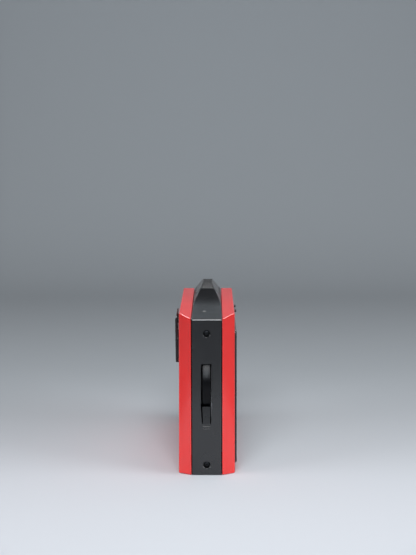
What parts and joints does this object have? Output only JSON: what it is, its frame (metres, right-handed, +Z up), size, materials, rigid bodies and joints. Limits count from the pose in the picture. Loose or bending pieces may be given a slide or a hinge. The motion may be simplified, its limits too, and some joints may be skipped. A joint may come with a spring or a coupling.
{
  "type": "personal cassette player",
  "caption": "Upright personal cassette player with a centre band, two outer half shells, a swing-out cassette door, top keys, a thumbwheel and a belt clip.",
  "frame": {"origin": "centre of the centre band's bottom face", "axes": "+Z up, +X out of the cassette door, -Y out of the end with the volume wheel"},
  "size_m": [0.0431, 0.1272, 0.1149],
  "materials": {
    "red_shell": "glossy moulded red",
    "charcoal_band": "satin charcoal with a fine moulded grain",
    "black_panel": "satin black",
    "gloss_black": "polished black",
    "smoke_window": "smoked clear plastic",
    "bright_steel": "plated sheet steel",
    "dark_steel": "blackened steel",
    "chrome_head": "polished",
    "brass": "turned",
    "black_rubber": "matte",
    "lamp_lens": "clear tinted lens",
    "board_green": "solder-masked laminate",
    "capacitor_sleeve": "shrink sleeve",
    "inner_black": "matte moulded"
  },
  "bodies": {
    "casing": {"front_shell": "red_shell", "rear_shell": "red_shell", "centre_frame": "charcoal_band", "door_hinge_pin_near": "bright_steel", "door_hinge_pin_far": "bright_steel", "door_catch_spring": "bright_steel", "play_key_spring": "bright_steel", "stop_key_spring": "bright_steel", "fast_forward_key_spring": "bright_steel", "key_bracket": "bright_steel", "tape_switch_body": "bright_steel", "tone_switch_body": "bright_steel", "clip_pin": "bright_steel", "clip_spring": "bright_steel", "chassis_plate": "bright_steel", "chassis_screw_1": "bright_steel", "chassis_screw_2": "bright_steel", "chassis_screw_3": "bright_steel", "chassis_screw_4": "bright_steel", "motor": "bright_steel", "idler_pin": "bright_steel", "battery_spring_contact": "bright_steel", "battery_plate_contact": "bright_steel", "clip_bracket": "dark_steel", "near_screw_upper": "dark_steel", "near_screw_lower": "dark_steel", "far_screw_upper": "dark_steel", "far_screw_lower": "dark_steel", "capstan_bearing": "brass", "drive_belt": "black_rubber", "power_lamp": "lamp_lens", "circuit_board": "board_green", "board_capacitor": "capacitor_sleeve", "volume_control": "inner_black", "headphone_jack": "inner_black", "battery_box": "inner_black", "amplifier_chip": "inner_black"},
    "door": {"cassette_door": "black_panel", "door_window": "smoke_window", "cassette_holder": "bright_steel"},
    "play_key": {"play_key": "charcoal_band"},
    "stop_key": {"stop_key": "charcoal_band"},
    "fast_forward_key": {"fast_forward_key": "charcoal_band"},
    "head_slide": {"head_plate": "bright_steel", "playback_head": "chrome_head", "pinch_roller_arm": "bright_steel", "pinch_roller_pin": "bright_steel"},
    "pinch_roller": {"pinch_roller": "black_rubber"},
    "volume_wheel": {"volume_wheel": "gloss_black"},
    "tape_switch": {"tape_switch_knob": "black_panel"},
    "tone_switch": {"tone_switch_knob": "black_panel"},
    "belt_clip": {"belt_clip": "black_panel"},
    "battery_lid": {"battery_lid": "red_shell"},
    "flywheel": {"flywheel": "bright_steel"},
    "motor_pulley": {"motor_pulley": "brass"},
    "take_up_idler": {"take_up_idler": "black_rubber"},
    "take_up_spindle": {"take_up_spindle": "inner_black"},
    "supply_spindle": {"supply_spindle": "inner_black"}
  },
  "joints": [
    {"name": "door_hinge", "type": "hinge", "parent": "casing", "child": "door", "pos_m": [0.0179, 0, 0.0074], "axis": [0, 1, 0], "range_deg": [0, 35]},
    {"name": "play_press", "type": "slide", "parent": "casing", "child": "play_key", "axis": [0, 0, -1], "range_m": [0, 0.0055], "stiffness_N_per_m": 120, "springref_m": -0.002, "deforming": ["play_key_spring"]},
    {"name": "stop_press", "type": "slide", "parent": "casing", "child": "stop_key", "axis": [0, 0, -1], "range_m": [0, 0.0045], "stiffness_N_per_m": 120, "springref_m": -0.002, "deforming": ["stop_key_spring"]},
    {"name": "fast_forward_press", "type": "slide", "parent": "casing", "child": "fast_forward_key", "axis": [0, 0, -1], "range_m": [0, 0.0045], "stiffness_N_per_m": 120, "springref_m": -0.002, "deforming": ["fast_forward_key_spring"]},
    {"name": "head_advance", "type": "slide", "parent": "casing", "child": "head_slide", "axis": [0, 0, -1], "range_m": [0, 0.0055]},
    {"name": "pinch_roller_spin", "type": "hinge", "parent": "head_slide", "child": "pinch_roller", "pos_m": [0, 0.03, 0.08005], "axis": [1, 0, 0], "continuous": true},
    {"name": "volume_turn", "type": "hinge", "parent": "casing", "child": "volume_wheel", "pos_m": [-0.0002, -0.044, 0.0631], "axis": [1, 0, 0], "range_deg": [-140, 140]},
    {"name": "tape_select", "type": "slide", "parent": "casing", "child": "tape_switch", "axis": [0, 1, 0], "range_m": [0, 0.003]},
    {"name": "tone_select", "type": "slide", "parent": "casing", "child": "tone_switch", "axis": [0, 1, 0], "range_m": [0, 0.003]},
    {"name": "clip_open", "type": "hinge", "parent": "casing", "child": "belt_clip", "pos_m": [-0.02, 0, 0.0955], "axis": [0, 1, 0], "range_deg": [0, 12], "stiffness_Nm_per_rad": 0.6, "springref_deg": -14.32},
    {"name": "battery_lid_slide", "type": "slide", "parent": "casing", "child": "battery_lid", "axis": [0, 1, 0], "range_m": [0, 0.056]},
    {"name": "flywheel_spin", "type": "hinge", "parent": "casing", "child": "flywheel", "pos_m": [0, 0.03, 0.0688], "axis": [1, 0, 0], "continuous": true},
    {"name": "motor_spin", "type": "hinge", "parent": "casing", "child": "motor_pulley", "pos_m": [0, -0.025, 0.092], "axis": [1, 0, 0], "continuous": true},
    {"name": "idler_spin", "type": "hinge", "parent": "casing", "child": "take_up_idler", "pos_m": [0, 0.0292, 0.0566], "axis": [1, 0, 0], "continuous": true},
    {"name": "take_up_spin", "type": "hinge", "parent": "casing", "child": "take_up_spindle", "pos_m": [0, 0.02815, 0.0404], "axis": [1, 0, 0], "continuous": true},
    {"name": "supply_spin", "type": "hinge", "parent": "casing", "child": "supply_spindle", "pos_m": [0, -0.01435, 0.0404], "axis": [1, 0, 0], "continuous": true}
  ],
  "couplings": [
    {"joint": "head_advance", "follows": "play_press", "ratio": 1},
    {"joint": "motor_spin", "follows": "flywheel_spin", "ratio": 5.2},
    {"joint": "idler_spin", "follows": "flywheel_spin", "ratio": -0.7163},
    {"joint": "take_up_spin", "follows": "flywheel_spin", "ratio": 0.5556}
  ]
}
